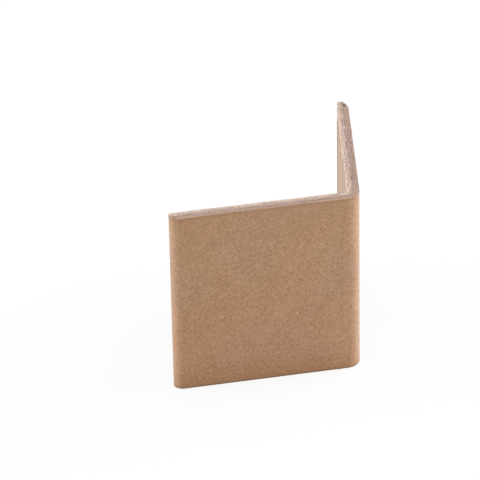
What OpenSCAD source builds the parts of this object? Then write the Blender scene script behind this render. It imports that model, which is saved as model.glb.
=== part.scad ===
// Pallet edge protector: a short length of angle board, standing on one cut end.
// Plies of solid board are glued flat in a stack, the outer paper is wrapped round
// both long edges onto the inner face, and the strip is folded once along its middle.
// The front leg lies along X with its outer face towards -Y, the fold is at its +X end,
// and the back leg runs from the fold towards +Y. Z runs along the fold.

/* [Board] */
// Outside width of the front leg, from its long edge to the sharp outer corner
front_leg = 60; // [40:1:100]
// Outside width of the back leg, from its long edge to the sharp outer corner
back_leg = 60; // [40:1:100]
// Length of the piece along the fold
cut_length = 63; // [30:1:200]
// Thickness of the glued stack of plies
board_t = 4.1; // [3:0.1:7]

/* [Fold] */
// Angle between the inner faces of the two legs
fold_angle = 99; // [85:1:120]
// Radius inside the fold
fold_inner_r = 1; // [0.5:0.1:3]

/* [Front long edge] */
// Radius of the wrap from the outer face round the front long edge
front_edge_outer_r = 3; // [2:0.5:10]
// Radius of the wrap from the front long edge onto the inner face
front_edge_inner_r = 1.1; // [0.5:0.1:1.4]
// How much thinner the board is pressed at the front long edge
front_edge_press = 0.1; // [0:0.1:0.8]

/* [Back long edge] */
// Radius of the wrap from the outer face round the back long edge
back_edge_outer_r = 8; // [2:0.5:10]
// Radius of the wrap from the back long edge onto the inner face
back_edge_inner_r = 1.2; // [0.5:0.1:1.4]
// How much thinner the board is pressed at the back long edge
back_edge_press = 0.6; // [0:0.1:0.8]

/* [Laps] */
// Width of the wrap that is lapped onto the inner face
lap_w = 12; // [8:1:20]
// Height of the edge of the lapped wrap above the inner face
lap_t = 0.15; // [0.1:0.05:0.5]

/* [Edge tunnels] */
// Paper between each tunnel and the outside of its long edge
tunnel_cover = 0.7; // [0.4:0.1:1]
// Depth of each tunnel, from the wrap to the corner of the plies behind it
tunnel_depth = 0.6; // [0.3:0.1:0.8]
// Angle round the front edge from the outer face to the corner of the plies
front_tunnel_turn = 45; // [30:1:60]
// Angle round the back edge from the outer face to the corner of the plies
back_tunnel_turn = 16; // [12:1:22]

/* [Hidden] */
$fn = 96;
board_colour = [0.66, 0.52, 0.41];

// Each round is eased by this much, so that it crosses the outline that it blends into
ease = 0.003;

// Fold: both radii share one centre, which is the origin of the flat profile
fold_turn = 180 - fold_angle;
fold_outer_r = fold_inner_r + board_t;
corner_setback = fold_outer_r * tan(fold_turn / 2);
front_reach = front_leg - corner_setback;
back_reach = back_leg - corner_setback;

// Wrapped edge: X ends at 0 on the edge, and Y starts at 0 on the outer face.
// The inner round ends the edge, and the outer round runs into it from the outer face.
lap_overlap = 1;
function inner_centre(inner_r, press) = [-inner_r, board_t - press - inner_r];
function outer_drop(outer_r, inner_r, press) = max(0, outer_r - inner_centre(inner_r, press).y);
function outer_centre(outer_r, inner_r, press) = [
    -inner_r - sqrt((outer_r - inner_r + 2 * ease) ^ 2 - outer_drop(outer_r, inner_r, press) ^ 2),
    outer_r
];

// Footprint: its middle is the origin of the part
function turned(p, angle) =
    [p.x * cos(angle) - p.y * sin(angle), p.x * sin(angle) + p.y * cos(angle)];
function on_back_leg(p) = turned([back_reach, -fold_outer_r] + p, fold_turn);
back_outer = on_back_leg(outer_centre(back_edge_outer_r, back_edge_inner_r, back_edge_press));
back_inner = on_back_leg(inner_centre(back_edge_inner_r, back_edge_press));
footprint_min = [-front_reach, -fold_outer_r];
footprint_max = [
    max(fold_outer_r, back_outer.x + back_edge_outer_r + ease),
    back_inner.y + back_edge_inner_r
];
footprint_middle = (footprint_min + footprint_max) / 2;

// Curved triangle between the rounded wrap and the stepped ends of the plies, about the outer round's centre
module edge_tunnel(wrap_r, turn) {
    ply_corner = (wrap_r - tunnel_depth) * [sin(turn), -cos(turn)];
    intersection() {
        circle(wrap_r);
        translate([ply_corner.x, -wrap_r]) square([wrap_r - ply_corner.x, wrap_r + ply_corner.y]);
    }
}

// Long edge with its lap, which slopes from its own edge down to the inner round
module wrapped_edge(outer_r, inner_r, press, tunnel_turn) {
    outer = outer_centre(outer_r, inner_r, press);
    inner = inner_centre(inner_r, press);
    end = -3 * ease;
    blend_y = inner.y + inner_r * outer_drop(outer_r, inner_r, press) / (outer.x + inner_r);
    lap_edge = [-lap_w, board_t + lap_t];
    run = inner - lap_edge;
    slope = atan2(run.y, run.x) + asin(inner_r / norm(run));
    slope_end = inner + (inner_r - ease) * [-sin(slope), cos(slope)];
    difference() {
        union() {
            difference() {
                polygon([
                    [-lap_w - lap_overlap, 0], [end, 0], [end, blend_y], inner, slope_end,
                    lap_edge, [-lap_w, board_t], [-lap_w - lap_overlap, board_t]
                ]);
                difference() {
                    translate([outer.x, -board_t]) square([-outer.x, board_t + inner.y]);
                    translate(outer) circle(outer_r + ease);
                }
            }
            translate(inner) circle(inner_r);
        }
        translate(outer) edge_tunnel(outer_r - tunnel_cover, tunnel_turn);
    }
}

// One leg: X runs from the sharp corner outside the fold, past 0 where the fold ends, to its long edge
module leg(reach) {
    translate([0, -fold_outer_r]) {
        translate([-corner_setback, 0]) square([corner_setback + reach - lap_w - lap_overlap / 2, board_t]);
        translate([reach, 0]) children();
    }
}

// What lies beyond an arc of the fold, as far as the sharp corner that the arc rounds
module beyond_arc(r) {
    kite_r = r + board_t / 2;
    difference() {
        polygon([
            [0, 0],
            turned([0, -kite_r], 0),
            turned([0, -kite_r / cos(fold_turn / 2)], fold_turn / 2),
            turned([0, -kite_r], fold_turn)
        ]);
        circle(r + ease);
    }
}

// Both legs meet in a sharp corner, which is filled inside and cut round outside
module board_profile() {
    difference() {
        union() {
            mirror([1, 0]) leg(front_reach)
                wrapped_edge(front_edge_outer_r, front_edge_inner_r, front_edge_press, front_tunnel_turn);
            rotate(fold_turn) leg(back_reach)
                wrapped_edge(back_edge_outer_r, back_edge_inner_r, back_edge_press, back_tunnel_turn);
            beyond_arc(fold_inner_r);
        }
        beyond_arc(fold_outer_r);
    }
}

module edge_protector() {
    color(board_colour)
        linear_extrude(cut_length)
            translate(-footprint_middle) board_profile();
}

edge_protector();
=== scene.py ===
import math

import bmesh
import bpy
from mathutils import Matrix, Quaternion, Vector, noise


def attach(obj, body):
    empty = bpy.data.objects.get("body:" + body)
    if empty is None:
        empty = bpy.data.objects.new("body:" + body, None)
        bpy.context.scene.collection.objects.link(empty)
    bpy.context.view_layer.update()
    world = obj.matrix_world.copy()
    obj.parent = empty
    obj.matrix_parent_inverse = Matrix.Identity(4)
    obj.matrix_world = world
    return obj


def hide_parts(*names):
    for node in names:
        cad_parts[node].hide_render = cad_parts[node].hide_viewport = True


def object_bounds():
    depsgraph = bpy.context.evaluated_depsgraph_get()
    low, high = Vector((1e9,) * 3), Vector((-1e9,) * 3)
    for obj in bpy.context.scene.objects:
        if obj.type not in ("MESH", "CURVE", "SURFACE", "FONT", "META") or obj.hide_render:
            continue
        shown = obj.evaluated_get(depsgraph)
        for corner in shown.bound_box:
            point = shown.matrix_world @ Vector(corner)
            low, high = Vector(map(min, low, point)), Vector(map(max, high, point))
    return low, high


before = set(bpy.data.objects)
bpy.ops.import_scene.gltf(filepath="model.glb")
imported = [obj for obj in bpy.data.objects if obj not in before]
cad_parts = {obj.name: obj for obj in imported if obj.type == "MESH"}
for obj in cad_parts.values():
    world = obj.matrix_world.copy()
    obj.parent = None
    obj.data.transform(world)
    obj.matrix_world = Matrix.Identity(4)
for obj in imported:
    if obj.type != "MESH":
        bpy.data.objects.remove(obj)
cad_low, cad_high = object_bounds()


# Ply stack
# Seven plies of grey-brown solid board between an outer wrap and an inner liner of kraft paper, glued
# flat in one strip. It is laid out as a flat sheet of small faces, with X along the strip, Y through
# the layers from the outer face to the inner, and the middle of the thickness at 0.
mm = 0.001
wrap_t = 0.4 * mm
ply_t = 0.5 * mm
ply_count = 7
liner_t = 0.2 * mm
board_t = wrap_t + ply_count * ply_t + liner_t
outer_y = -board_t / 2
inner_y = board_t / 2
leg_w = 60 * mm
fold_turn = math.radians(81)
fold_inner_r = 1 * mm
fold_outer_r = fold_inner_r + board_t
fold_middle_r = fold_inner_r + board_t / 2
leg_reach = leg_w - fold_outer_r * math.tan(fold_turn / 2)
fold_arc = fold_middle_r * fold_turn
strip_w = 2 * leg_reach + fold_arc
lap_w = 12 * mm
lap_t = 0.15 * mm
row_t = 0.1 * mm
column_w = 0.3 * mm
hair = 0.001 * mm


class LongEdge:
    """A long edge in section, by the distance u from its end and the distance t from the outer face."""

    def __init__(self, side, outer_r, inner_r, press, tunnel_turn):
        self.side, self.outer_r, self.inner_r = side, outer_r, inner_r
        self.tunnel_turn = math.radians(tunnel_turn)
        self.inner_t = board_t - press - inner_r
        drop = max(0, outer_r - self.inner_t)
        lean = math.sqrt((outer_r - inner_r) ** 2 - drop**2)
        self.run = inner_r + lean
        self.blend_u = inner_r * (1 - lean / (outer_r - inner_r))
        fall = Vector((lap_w - inner_r, self.inner_t - board_t - lap_t))
        self.slope = math.atan2(fall.y, fall.x) + math.asin(inner_r / fall.length)
        self.slope_u = inner_r * (1 + math.sin(self.slope))

    def lap_line(self, u):
        """Height of the lap, which slopes down from its own edge to the inner round."""
        return board_t + lap_t + (lap_w - u) * math.tan(self.slope)

    def squeeze(self, u):
        """Share of its thickness that the stack keeps where it is pressed thinner."""
        return self.lap_line(u) / (board_t + lap_t) if u < lap_w else 1

    def span(self, u):
        """Lowest and highest t of the section."""
        end_chord = math.sqrt(max(0, self.inner_r**2 - (self.inner_r - u) ** 2))
        low = 0
        if u < self.run:
            low = self.outer_r - math.sqrt(self.outer_r**2 - (self.run - u) ** 2)
        if u < self.blend_u:
            low = self.inner_t - end_chord
        high = self.lap_line(u) if u > self.slope_u else self.inner_t + end_chord
        return low, high


front_edge = LongEdge(side=-1, outer_r=3 * mm, inner_r=1.1 * mm, press=0.1 * mm, tunnel_turn=45)
back_edge = LongEdge(side=1, outer_r=8 * mm, inner_r=1.2 * mm, press=0.6 * mm, tunnel_turn=16)
sheet_left = front_edge.run - strip_w / 2
sheet_right = strip_w / 2 - back_edge.run
sheet_w = sheet_right - sheet_left


def pick(part, kind, test):
    """Selects the vertices, edges or faces of the part that pass a test, and nothing else."""
    bpy.ops.mesh.select_mode(type=kind)
    bpy.ops.mesh.select_all(action="DESELECT")
    shape = bmesh.from_edit_mesh(part.data)
    for item in {"VERT": shape.verts, "EDGE": shape.edges, "FACE": shape.faces}[kind]:
        if test(item):
            item.select_set(True)
    bmesh.update_edit_mesh(part.data)


bpy.ops.object.select_all(action="DESELECT")
bpy.ops.mesh.primitive_grid_add(
    x_subdivisions=round(sheet_w / column_w), y_subdivisions=round(board_t / row_t), size=1
)
board = bpy.context.object
board.name = "folded_board"
bpy.ops.object.mode_set(mode="EDIT")
bpy.ops.transform.resize(value=(sheet_w, board_t, 1))
bpy.ops.transform.translate(value=((sheet_left + sheet_right) / 2, 0, 0))


# Wrapped long edges
# The wrap is turned round both long edges of the stack and glued down on the inner face as a lap.
# Each edge is pressed thinner while the glue is wet. The front one is round, and the back one tapers.
lap_rows = 2
edge_steps = 18
edge_end = 0.012 * mm


def on_lap_line(edge):
    """True for the outline of the inner face where the lap is glued down."""
    ends_y = min(v.co.y for v in edge.verts)
    ends_x = min(abs(v.co.x) for v in edge.verts)
    return ends_y > inner_y - hair and ends_x > strip_w / 2 - lap_w - column_w / 2


pick(board, "EDGE", on_lap_line)
for row in range(lap_rows):
    bpy.ops.mesh.extrude_edges_move(TRANSFORM_OT_translate={"value": (0, lap_t / lap_rows, 0)})

for edge in (front_edge, back_edge):
    side = edge.side
    sheet_end = strip_w / 2 - edge.run
    pick(board, "EDGE", lambda e: min(side * v.co.x for v in e.verts) > sheet_end - hair)
    u = edge.run
    low, high = 0, board_t + lap_t
    for step in range(1, edge_steps + 1):
        next_u = edge_end + (edge.run - edge_end) * (1 - math.sin(math.pi / 2 * step / edge_steps))
        next_low, next_high = (t / edge.squeeze(next_u) for t in edge.span(next_u))
        slip = (side * (u - next_u), next_low - low, 0)
        bpy.ops.mesh.extrude_edges_move(TRANSFORM_OT_translate={"value": slip})
        taper = (next_high - next_low) / (high - low)
        bpy.ops.transform.resize(value=(1, taper, 1), center_override=(0, outer_y + next_low, 0))
        u, low, high = next_u, next_low, next_high


def edge_at(x):
    """The long edge on this side of the fold."""
    return front_edge if x < 0 else back_edge


def from_edge(x):
    """Distance from the nearer long edge, on the flat board."""
    return strip_w / 2 - abs(x)


section = bmesh.from_edit_mesh(board.data)
for vertex in section.verts:
    kept = edge_at(vertex.co.x).squeeze(from_edge(vertex.co.x))
    vertex.co.y = outer_y + (vertex.co.y - outer_y) * kept
bmesh.update_edit_mesh(board.data)


# Cut length
# The strip is sawn across into short pieces, so the sheet is drawn up to the length of one piece.
# The rows are close together next to the cuts, where the paper is bruised.
cut_length = cad_high.z - cad_low.z
cut_rows = [0.12 * mm, 0.25 * mm, 0.45 * mm, 0.8 * mm]
plain_rows = 30
plain_row = (cut_length - 2 * sum(cut_rows)) / plain_rows

bpy.ops.mesh.select_mode(type="FACE")
bpy.ops.mesh.select_all(action="SELECT")
for rise in cut_rows + [plain_row] * plain_rows + cut_rows[::-1]:
    bpy.ops.mesh.extrude_region_move(TRANSFORM_OT_translate={"value": (0, 0, rise)})
bpy.ops.mesh.select_all(action="SELECT")
bpy.ops.mesh.normals_make_consistent(inside=False)
bpy.ops.object.mode_set(mode="OBJECT")


# Edge tunnels
# The plies stop short of the turn of the wrap, which leaves a thin open tunnel along each long edge.
# Each is a curved triangle, cut from a rod with the wrap's inner radius, and taken out of the board.
tunnel_cover = 0.7 * mm
tunnel_depth = 0.6 * mm
tunnel_past = 1 * mm
rod_sides = 128

for edge in (front_edge, back_edge):
    side = edge.side
    wrap_r = edge.outer_r - tunnel_cover
    middle = Vector((side * (strip_w / 2 - edge.run), outer_y + edge.outer_r, cut_length / 2))
    bpy.ops.mesh.primitive_cylinder_add(
        vertices=rod_sides, radius=wrap_r, depth=cut_length + 2 * tunnel_past, location=middle
    )
    rod = bpy.context.object
    bpy.ops.object.transform_apply(location=True)
    bpy.ops.object.mode_set(mode="EDIT")
    ply_corner = middle + (wrap_r - tunnel_depth) * Vector(
        (side * math.sin(edge.tunnel_turn), -math.cos(edge.tunnel_turn), 0)
    )
    for inward in ((-side, 0, 0), (0, 1, 0)):
        bpy.ops.mesh.select_all(action="SELECT")
        bpy.ops.mesh.bisect(plane_co=ply_corner, plane_no=inward, use_fill=True, clear_outer=True)
    bpy.ops.mesh.select_all(action="SELECT")
    bpy.ops.mesh.normals_make_consistent(inside=False)
    bpy.ops.object.mode_set(mode="OBJECT")
    bpy.ops.object.select_all(action="DESELECT")
    bpy.context.view_layer.objects.active = board
    board.select_set(True)
    tunnel = board.modifiers.new("tunnel", "BOOLEAN")
    tunnel.object = rod
    tunnel.solver = "MANIFOLD"
    bpy.ops.object.modifier_apply(modifier="tunnel")
    bpy.data.objects.remove(rod)


# Saw cut
# The saw leaves each ply at its own height, with open glue lines, torn pits and a bruised border.
# Everything lies inside the plane of the cut.
glue_lines = [wrap_t + ply_t * n for n in range(ply_count + 1)]
cut_mean = 0.07 * mm
ply_step = 0.05 * mm
glue_depth = 0.22 * mm
fibre_depth = 0.035 * mm
pit_depth = 0.5 * mm
pit_start = 0.55
bruise_w = 0.2 * mm
bruise_depth = 0.09 * mm
bruise_spread = 0.08 * mm
end_shift = 17


def skin_depth(x, y):
    """Distance from the paper's outside to a place in the flat board's section."""
    edge, u, t = edge_at(x), from_edge(x), y - outer_y
    depths = [t, (edge.lap_line(u) if u < lap_w else board_t) - t]
    if u < edge.run and t < edge.outer_r:
        depths.append(edge.outer_r - math.hypot(edge.run - u, edge.outer_r - t))
    blend_along = edge.run - edge.inner_r
    blend_through = edge.outer_r - edge.inner_t
    past_blend = blend_along * (t - edge.inner_t) > blend_through * (u - edge.inner_r)
    if u < edge.inner_r and past_blend:
        depths.append(edge.inner_r - math.hypot(edge.inner_r - u, edge.inner_t - t))
    return min(depths)


def wander(x, y, z, octaves=3):
    """Smooth fractal noise about 0 at a place given in wavelengths."""
    return noise.fractal(Vector((x, y, z)), 1.0, 2.0, octaves)


def cut_depth(x, y, end):
    """Depth of the ragged cut at a place in the section, with end 0 for the lower cut and 1 for the upper."""
    t = (y - outer_y) / edge_at(x).squeeze(from_edge(x))
    start = end_shift * end
    layer = sum(t > line for line in glue_lines)
    level = ply_step * wander(x / (9 * mm), 3.7 * layer, start)
    near = min(range(len(glue_lines)), key=lambda n: abs(t - glue_lines[n]))
    glue = max(0, 1 - abs(t - glue_lines[near]) / row_t)
    groove = glue_depth * glue * max(0, wander(x / (6 * mm), 5.3 * near, start + 5))
    fibre = fibre_depth * wander(x / (1.6 * mm), t / (0.25 * mm), start + 9)
    pit = pit_depth * max(0, wander(x / (1.4 * mm), t / (0.5 * mm), start + 13) - pit_start)
    bruise = max(0, 1 - skin_depth(x, y) / bruise_w) ** 2
    border = bruise * (bruise_depth + bruise_spread * wander(x / (1.5 * mm), y / (1.5 * mm), start + 3))
    return max(0, cut_mean + level + groove + fibre + pit + border)


# Paper faces
# The papers aren't quite flat: the board's thickness varies a little, the laps' edges wander,
# and the liner is crushed into fine creases where it is folded.
thin_share = 0.01
lap_wander = 0.3 * mm
lap_reach = 1.5 * mm
crease_depth = 0.12 * mm


def paper_slip(x, y, z):
    """How far a place on the flat board moves from its true place."""
    thin = thin_share * (0.5 + wander(x / (14 * mm), z / (18 * mm), y / (9 * mm), 2))
    move = Vector((0, -y * max(0, thin), 0))
    off_lap = abs(from_edge(x) - lap_w)
    if y > inner_y - 2 * hair and off_lap < lap_reach:
        move.x = lap_wander * (1 - off_lap / lap_reach) * wander(z / (9 * mm), x / (30 * mm), 0)
    off_fold = abs(x) / (fold_arc / 2)
    if y > 0 and off_fold < 1:
        crease = max(0, wander(x / (0.55 * mm), z / (16 * mm), 7, 2))
        move.y -= crease_depth * (1 - off_fold**2) * (y / inner_y) ** 4 * crease
    return move


for name, kind in (("flat_place", "FLOAT_VECTOR"), ("skin", "FLOAT"), ("torn", "FLOAT")):
    board.data.attributes.new(name, kind, "POINT")
flat_place = board.data.attributes["flat_place"]
skin = board.data.attributes["skin"]
torn = board.data.attributes["torn"]
for vertex in board.data.vertices:
    x, y, z = vertex.co
    flat_place.data[vertex.index].vector = (x, y, z)
    skin.data[vertex.index].value = skin_depth(x, y)
    vertex.co += paper_slip(x, y, z)
    if z < hair or z > cut_length - hair:
        end = int(z > hair)
        depth = cut_depth(x, y, end)
        torn.data[vertex.index].value = depth
        vertex.co.z += -depth if end else depth


# Finishes
# Dull brown kraft paper outside, rubbed to a polish on the fold and the long edges, a plainer liner
# inside, and the grey-brown plies of recycled fibre where the saw has opened them.
class Wire:
    """An output of a finish's node tree. Arithmetic on it adds Math nodes, and node() any other kind."""

    def __init__(self, socket):
        self.socket = socket

    def node(self, kind, settings, inputs, out=0):
        """Adds a node with its settings and with values or wires on its inputs, and gives one output."""
        tree = self.socket.id_data
        made = tree.nodes.new(kind)
        for name, value in settings.items():
            setattr(made, name, value)
        for name, value in inputs.items():
            socket = made.inputs[name] if isinstance(name, int) else next(
                s for s in made.inputs if s.identifier == name
            )
            if isinstance(value, Wire):
                tree.links.new(value.socket, socket)
            else:
                socket.default_value = value
        return Wire(made.outputs[out])

    def math(self, operation, *values):
        return self.node("ShaderNodeMath", {"operation": operation}, dict(enumerate(values)))

    def __add__(self, other):
        return self.math("ADD", self, other)

    def __sub__(self, other):
        return self.math("SUBTRACT", self, other)

    def __rsub__(self, other):
        return self.math("SUBTRACT", other, self)

    def __mul__(self, other):
        return self.math("MULTIPLY", self, other)

    __radd__ = __add__
    __rmul__ = __mul__

    def __abs__(self):
        return self.math("ABSOLUTE", self)

    def grain(self, along, through, up, detail=2, roughness=0.5):
        """Noise from 0 to 1 on a place, with its sizes along the strip, through the layers and up."""
        place = self.node(
            "ShaderNodeVectorMath", {"operation": "MULTIPLY"},
            {0: self, 1: (1 / along, 1 / through, 1 / up)},
        )
        return self.node(
            "ShaderNodeTexNoise", {},
            {"Vector": place, "Scale": 1.0, "Detail": detail, "Roughness": roughness},
        )

    def band(self, start, end):
        """Rises smoothly from 0 at start to 1 at end."""
        return self.node(
            "ShaderNodeMapRange", {"interpolation_type": "SMOOTHSTEP"},
            {"Value": self, "From Min": start, "From Max": end},
        )

    def tint(self, under, over, blend="MIX"):
        """Colour that goes from under to over as this value goes from 0 to 1."""
        return self.node(
            "ShaderNodeMix", {"data_type": "RGBA", "blend_type": blend},
            {"Factor_Float": self, "A_Color": under, "B_Color": over}, out=2,
        )


def ink(red, green, blue):
    """Linear colour from the eight-bit values that a screen shows."""
    shares = [c / 255 for c in (red, green, blue)]
    return tuple(c / 12.92 if c < 0.04045 else ((c + 0.055) / 1.055) ** 2.4 for c in shares) + (1,)


def new_finish(name, roughness, gloss, glaze=0, glaze_roughness=0.5):
    """A material with a glaze over it, the wire of its flat place and a function that feeds its shader."""
    material = bpy.data.materials.new(name)
    material.use_nodes = True
    shader = material.node_tree.nodes["Principled BSDF"]
    shader.inputs["Roughness"].default_value = roughness
    shader.inputs["Specular IOR Level"].default_value = gloss
    shader.inputs["Coat Weight"].default_value = glaze
    shader.inputs["Coat Roughness"].default_value = glaze_roughness
    place = Wire(shader.outputs[0]).node(
        "ShaderNodeAttribute", {"attribute_name": "flat_place"}, {}, out=1
    )

    def feed(socket, wire):
        material.node_tree.links.new(wire.socket, shader.inputs[socket])

    return material, place, feed


def axes(place):
    """The three numbers of a place, each as a wire."""
    return [place.node("ShaderNodeSeparateXYZ", {}, {0: place}, out=n) for n in range(3)]


def kraft_paper(name, inks, gloss, glaze, glaze_roughness, polish):
    """Mottled kraft paper with upright fibres, a few specks and faint creases along the fold."""
    dark, pale, speck_dark, speck_pale = inks
    roughness = 0.5
    material, place, feed = new_finish(name, roughness, gloss, glaze, glaze_roughness)
    along, through, up = axes(place)
    cloud = place.grain(22 * mm, 22 * mm, 22 * mm)
    flock = place.grain(3.5 * mm, 3.5 * mm, 4.5 * mm)
    mottle = place.grain(0.6 * mm, 0.6 * mm, 0.6 * mm, 2, 0.6)
    fibre = place.grain(0.3 * mm, 0.3 * mm, 0.9 * mm, 1)
    tone = 0.5 + 0.45 * (cloud - 0.5) + 0.45 * (flock - 0.5)
    tone = tone + 2.1 * (mottle - 0.5) + 1.5 * (fibre - 0.5)

    # Painted highlights along the fold and the long edges, painted shade that darkens the lower end, and
    # painted light that makes the front leg paler towards the fold
    off_fold = abs(along)
    off_edge = strip_w / 2 - off_fold
    crease = place.grain(0.8 * mm, 8 * mm, 60 * mm, 1) - 0.5
    near_fold = 1 - off_fold.band(4 * mm, 10 * mm)
    lower = 1 - up.band(0, 40 * mm)
    # Faint creases by the fold, a painted highlight on the lower part of the fold, and painted shade on the
    # lower face away from it
    tone = tone + near_fold * (0.5 * crease + 0.12 * lower) - 0.05 * lower * (1 - near_fold)
    # Painted light: the front leg grows paler from its long edge towards the fold
    tone = tone + 0.07 * (along.band(-62 * mm, 0) - 0.5)
    # Painted highlights on the rounds of the long edges and on the crest of the fold
    tone = tone + 0.14 * (1 - off_edge.band(0.8 * mm, 2.5 * mm))
    tone = tone + 0.12 * (1 - off_fold.band(0.2 * mm, 1.1 * mm))
    colour = tone.tint(dark, pale)

    # Slow drifts of hue over the sheet, and painted shade that warms and darkens the face towards the bottom
    blush_tint = (1.0, 0.936, 0.906, 1)
    straw_tint = (1.0, 1.0, 0.939, 1)
    patch = place.grain(24 * mm, 24 * mm, 24 * mm, 1).band(0.36, 0.64)
    # A random blush, plus painted shade that grows towards the bottom
    blush_and_low_shade = 0.5 * patch + 0.6 * (1 - up.band(5 * mm, 58 * mm)) - 0.05
    colour = blush_and_low_shade.tint(colour, blush_tint, "MULTIPLY")
    straw = place.grain(25 * mm, 25 * mm, 25 * mm, 1).band(0.4, 0.6)
    colour = straw.tint(colour, straw_tint, "MULTIPLY")

    # Specks of other fibre: size of a cell, share of cells left empty, radius in cells, and ink
    specks = [(4 * mm, 0.93, 0.075, speck_pale), (3.1 * mm, 0.91, 0.095, speck_dark)]
    sheet = place.node("ShaderNodeCombineXYZ", {}, {0: along + through, 1: up})
    for cell, empty, radius, speck_ink in specks:
        spots = {"voronoi_dimensions": "2D", "feature": "F1"}
        scaled = {"Vector": sheet, "Scale": 1 / cell}
        far = place.node("ShaderNodeTexVoronoi", spots, scaled, out="Distance")
        draw = place.node("ShaderNodeTexVoronoi", spots, scaled, out="Color")
        chosen = axes(draw)[0].band(empty, empty + 0.02)
        speck = chosen * (1 - far.band(radius * 0.5, radius))
        colour = (speck * 0.8).tint(colour, speck_ink)

    # Darker borders within 2 mm of the cuts, painted shade over the lower 11 mm, and a dark line where the
    # piece stands that is partly dirt and partly painted contact shadow
    foot_shade_tint = (0.957, 0.896, 0.821, 1)
    dirt_and_contact_shade = ink(99, 86, 78)
    from_cut = cut_length / 2 - abs(up - cut_length / 2)
    colour = (0.65 * (1 - from_cut.band(0, 2 * mm))).tint(colour, dark)
    # Painted shade: the lower 11 mm are warmer and darker
    colour = (1 - up.band(0, 11 * mm)).tint(colour, foot_shade_tint, "MULTIPLY")
    # Partly dirt and partly painted contact shadow along the standing edge
    colour = (0.6 * (1 - up.band(0.1 * mm, 0.8 * mm))).tint(colour, dirt_and_contact_shade)
    feed("Base Color", colour)
    feed("Roughness", roughness + 0.2 * flock)
    if polish:
        crest = along.band(-1.6 * mm, -0.1 * mm) * (1 - along.band(2 * mm, 5 * mm))
        rubbed = crest + 1 - off_edge.band(0.6 * mm, 2.6 * mm)
        feed("Coat Weight", glaze + polish * rubbed)
    height = mottle + 0.6 * fibre + near_fold * crease
    feed("Normal", height.node(
        "ShaderNodeBump", {}, {"Strength": 0.5, "Distance": 0.03 * mm, "Height": height}
    ))
    return material


def cut_plies():
    """Sawn layers: smooth mauve-brown plies outside, pale streaked ones inside, and the line of the wrap."""
    material, place, feed = new_finish("cut_plies", 0.85, 0.3)
    along, through = axes(place)[:2]
    share = (through - outer_y) * (1 / board_t)
    drift = place.grain(7 * mm, 7 * mm, 7 * mm)
    grey = place.grain(5 * mm, 1.5 * mm, 5 * mm, 1).band(0.38, 0.62)
    streak = place.grain(3.6 * mm, 0.42 * mm, 9 * mm, 3, 0.6)
    chip = place.grain(0.8 * mm, 0.42 * mm, 9 * mm, 1)
    inner = (share + 0.2 * (drift - 0.5)).band(0.47, 0.58)
    outer_plies = grey.tint(ink(157, 130, 119), ink(155, 132, 120))
    inner_plies = grey.tint(ink(170, 145, 134), ink(169, 150, 138))
    inner_plies = share.band(0.5, 0.85).tint(inner_plies, ink(195, 172, 159))
    colour = inner.tint(outer_plies, inner_plies)

    # Torn fibres along the plies and chips across them, most of all in the inner plies
    pale_fibre, dark_fibre = ink(212, 190, 175), ink(117, 92, 81)
    pale_chip, dark_chip = ink(222, 206, 191), ink(102, 79, 70)
    rough_share = 0.45 + 0.55 * inner
    colour = (rough_share * streak.band(0.5, 0.7) * 0.75).tint(colour, pale_fibre)
    colour = (rough_share * (1 - streak.band(0.3, 0.5)) * 0.75).tint(colour, dark_fibre)
    chipped = rough_share * (0.75 + 0.25 * along.band(-4 * mm, 4 * mm))
    colour = (chipped * chip.band(0.56, 0.7) * 0.8).tint(colour, dark_chip)
    colour = (chipped * (1 - chip.band(0.3, 0.44)) * 0.7).tint(colour, pale_chip)
    # Painted shade: the deep pits and glue-line grooves of the cut are darkened by their depth
    depth = place.node("ShaderNodeAttribute", {"attribute_name": "torn"}, {}, out=2)
    colour = (depth.band(0.12 * mm, 0.3 * mm) * 0.8).tint(colour, ink(84, 62, 52))
    crest = share.band(0.84, 0.94) * (0.3 + 0.7 * drift.band(0.35, 0.5))
    colour = (crest * 0.75).tint(colour, ink(214, 188, 172))

    # The line of the wrap along the outer face, with a painted highlight near the fold and the long edges
    skin_wire = place.node("ShaderNodeAttribute", {"attribute_name": "skin"}, {}, out=2)
    front = 1 - 0.8 * along.band(-1.5 * mm, 3 * mm)
    wrap = (1 - skin_wire.band(0.3 * mm, 0.9 * mm)) * (1 - share.band(0.5, 0.7)) * front
    off_fold = abs(along)
    by_edge = off_fold.band(strip_w / 2 - 14 * mm, strip_w / 2 - 6 * mm)
    # Painted highlight: the wrap's line is paler near the fold and the long edges
    painted_highlight = 1 - off_fold.band(5 * mm, 11 * mm) + by_edge
    wrap_edge = painted_highlight.tint(ink(170, 137, 110), ink(182, 150, 121))
    colour = (wrap * 0.7).tint(colour, wrap_edge)
    feed("Base Color", colour)
    height = streak + 0.5 * chip
    feed("Normal", height.node(
        "ShaderNodeBump", {}, {"Strength": 0.6, "Distance": 0.05 * mm, "Height": height}
    ))
    return material


def tunnel_wall():
    """Ply inside the edge tunnels, painted nearly black as the shade deep in them."""
    material, place, feed = new_finish("tunnel_wall", 0.95, 0.1)
    fibre = place.grain(0.3 * mm, 0.3 * mm, 3 * mm)
    # Painted shade: the tunnel walls are made nearly black
    feed("Base Color", fibre.tint(ink(40, 28, 22), ink(72, 54, 44)))
    return material


cut_reach = 0.01 * cut_length


def is_cut(face):
    height = face.calc_center_median().z
    return abs(face.normal.z) > 0.5 and not cut_reach < height < cut_length - cut_reach


def is_tunnel(face):
    middle = face.calc_center_median()
    inside = skin_depth(middle.x, middle.y) > 0.3 * tunnel_cover
    return inside and from_edge(middle.x) < edge_at(middle.x).run and not is_cut(face)


def is_liner(face):
    middle = face.calc_center_median()
    return face.normal.y > 0.5 and from_edge(middle.x) > lap_w and not is_cut(face)


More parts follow.
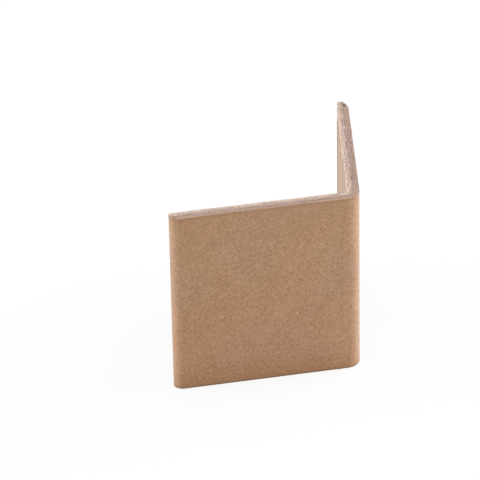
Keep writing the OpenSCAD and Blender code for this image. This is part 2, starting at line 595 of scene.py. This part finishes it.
wrap_inks = ink(158, 120, 87), ink(188, 150, 119), ink(123, 95, 79), ink(216, 180, 146)
liner_inks = ink(150, 109, 70), ink(179, 142, 113), ink(108, 76, 54), ink(208, 176, 146)
kraft_wrap = kraft_paper("kraft_wrap", wrap_inks, gloss=0.35, glaze=0.1, glaze_roughness=0.25, polish=0.65)
kraft_liner = kraft_paper("kraft_liner", liner_inks, gloss=0.8, glaze=0.5, glaze_roughness=0.5, polish=0)
finishes = [
    (kraft_wrap, lambda face: True),
    (kraft_liner, is_liner),
    (cut_plies(), is_cut),
    (tunnel_wall(), is_tunnel),
]
board.data.materials.clear()
for material, _ in finishes:
    board.data.materials.append(material)
bpy.ops.object.mode_set(mode="EDIT")
for index, (_, test) in enumerate(finishes):
    pick(board, "FACE", test)
    board.active_material_index = index
    bpy.ops.object.material_slot_assign()
bpy.ops.object.mode_set(mode="OBJECT")


# Fold
# The strip is folded once along its middle, while the glue is still soft, about the inner radius.
# The front leg lies along X with its outer face towards -Y, and the back leg runs towards +Y.
sharp_turn = math.radians(40)
fold_centre = Vector((cad_low.x + leg_reach, cad_low.y + fold_outer_r, cad_low.z))
fold = board.modifiers.new("fold", "SIMPLE_DEFORM")
fold.deform_method = "BEND"
fold.deform_axis = "Z"
fold.angle = fold_turn
fold.limits = (0.5 - fold_arc / strip_w / 2, 0.5 + fold_arc / strip_w / 2)
bpy.ops.object.modifier_apply(modifier="fold")
turn = Quaternion((0, 0, 1), fold_turn / 2)
board.rotation_euler = turn.to_euler()
board.location = fold_centre - turn @ Vector((0, fold_middle_r, 0))
bpy.ops.object.transform_apply(location=True, rotation=True, scale=True)
bpy.ops.object.shade_smooth_by_angle(angle=sharp_turn)
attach(board, "root")
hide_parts("edge_protector")


# Floor
# A wide white sheet that the piece stands on. It shows white to the camera, with a soft shadow.
floor_w = 12.0
floor_lift = 0.88
bpy.ops.object.select_all(action="DESELECT")
bpy.ops.mesh.primitive_plane_add(size=floor_w, location=(0, 0, cad_low.z))
floor = bpy.context.object
floor.name = "floor"
bpy.ops.object.transform_apply(location=True)
floor_paper = bpy.data.materials.new("floor_paper")
floor_paper.use_nodes = True
floor_shader = floor_paper.node_tree.nodes["Principled BSDF"]
floor_shader.inputs["Base Color"].default_value = (0.8, 0.8, 0.8, 1)
floor_shader.inputs["Roughness"].default_value = 0.9
floor_shader.inputs["Specular IOR Level"].default_value = 0


def seen_white(shader_wire):
    """How far a surface or the world is lifted to white, for what the camera sees directly or mirrored."""
    rays = [
        shader_wire.node("ShaderNodeLightPath", {}, {}, out=name)
        for name in ("Is Camera Ray", "Is Glossy Ray", "Is Transmission Ray")
    ]
    return rays[0].math("MAXIMUM", rays[0], rays[1].math("MAXIMUM", rays[1], rays[2]))


floor_wire = Wire(floor_shader.outputs[0])
white = floor_wire.node("ShaderNodeEmission", {}, {"Color": (1, 1, 1, 1), "Strength": 1.0})
lifted = floor_wire.node(
    "ShaderNodeMixShader", {}, {0: seen_white(floor_wire) * floor_lift, 1: floor_wire, 2: white}
)
floor_out = floor_paper.node_tree.nodes["Material Output"]
floor_paper.node_tree.links.new(lifted.socket, floor_out.inputs["Surface"])
floor.data.materials.append(floor_paper)


# Light
# Even light all round, with a wide soft lamp low and a little behind on each side, so that both round
# edges catch it.
world = bpy.data.worlds.new("studio")
bpy.context.scene.world = world
world.use_nodes = True
sky = world.node_tree.nodes["Background"]
sky_level = 0.75
sky_wire = Wire(sky.outputs[0])
seen = seen_white(sky_wire)
sky.inputs["Color"].default_value = (1, 1, 1, 1)
world.node_tree.links.new((sky_level + (1 - sky_level) * seen).socket, sky.inputs["Strength"])


lamp_far = 1.2
lamp_w = 0.9


def direction(azimuth, elevation):
    """Unit vector from the piece, by degrees. Azimuth 0 is in front of it, and 90 on the fold's side."""
    around, above = math.radians(azimuth), math.radians(elevation)
    return Vector((
        math.sin(around) * math.cos(above),
        -math.cos(around) * math.cos(above),
        math.sin(above),
    ))


def side_lamp(name, azimuth, elevation, level):
    """A square soft lamp that faces the piece."""
    towards = direction(azimuth, elevation)
    lamp = bpy.data.lights.new(name, "AREA")
    lamp.shape = "SQUARE"
    lamp.size = lamp_w
    lamp.energy = level * math.pi**2 * lamp_far**2
    placed = bpy.data.objects.new(name, lamp)
    placed.location = towards * lamp_far + Vector((0, 0, cut_length / 2))
    placed.rotation_euler = towards.to_track_quat("Z", "Y").to_euler()
    bpy.context.scene.collection.objects.link(placed)


side_lamp("left_lamp", azimuth=-100, elevation=24, level=0.6)
side_lamp("right_lamp", azimuth=98, elevation=24, level=1.05)


# Camera
# Looks down on the front leg from the left of its middle, with a long lens.
camera_aim = Vector((-9.000, -10.908, 40.798)) * mm
camera_far = 1261.3 * mm
camera_roll = math.radians(-1.196)
back = direction(azimuth=-10.832, elevation=31.706)
lens = bpy.data.cameras.new("camera")
lens.lens = 300
lens.sensor_width = 36
camera = bpy.data.objects.new("camera", lens)
camera.location = camera_aim + back * camera_far
camera.rotation_mode = "QUATERNION"
camera.rotation_quaternion = back.to_track_quat("Z", "Y") @ Quaternion((0, 0, 1), camera_roll)
bpy.context.scene.collection.objects.link(camera)
bpy.context.scene.camera = camera
bpy.context.scene.view_settings.view_transform = "Standard"
